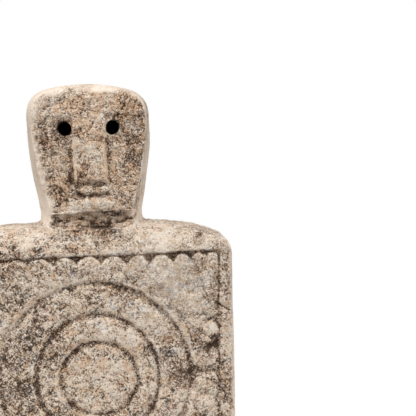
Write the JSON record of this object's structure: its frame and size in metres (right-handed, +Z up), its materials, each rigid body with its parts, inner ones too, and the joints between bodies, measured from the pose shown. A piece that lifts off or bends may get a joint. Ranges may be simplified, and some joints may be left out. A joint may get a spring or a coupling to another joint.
{
  "type": "carved stone figure",
  "caption": "Carved stone idol: slab body with a ringed and scalloped chest panel, blocky head with drilled eyes, long nose and slit mouth, resting on small felt pads.",
  "frame": {"origin": "middle of the footprint, on the surface that the felt pads stand on", "axes": "+Z up towards the head, the carved front faces -Y, +X to the right of someone who faces the front"},
  "size_m": [0.28, 0.105, 0.453],
  "materials": {
    "stone": "weathered, coarse-grained and matt, with dark deposits in the carving",
    "felt": "pressed felt"
  },
  "bodies": {
    "root": {"stone_figure": "stone", "felt_pad_front_left": "felt", "felt_pad_front_right": "felt", "felt_pad_back_left": "felt", "felt_pad_back_right": "felt"}
  },
  "joints": []
}
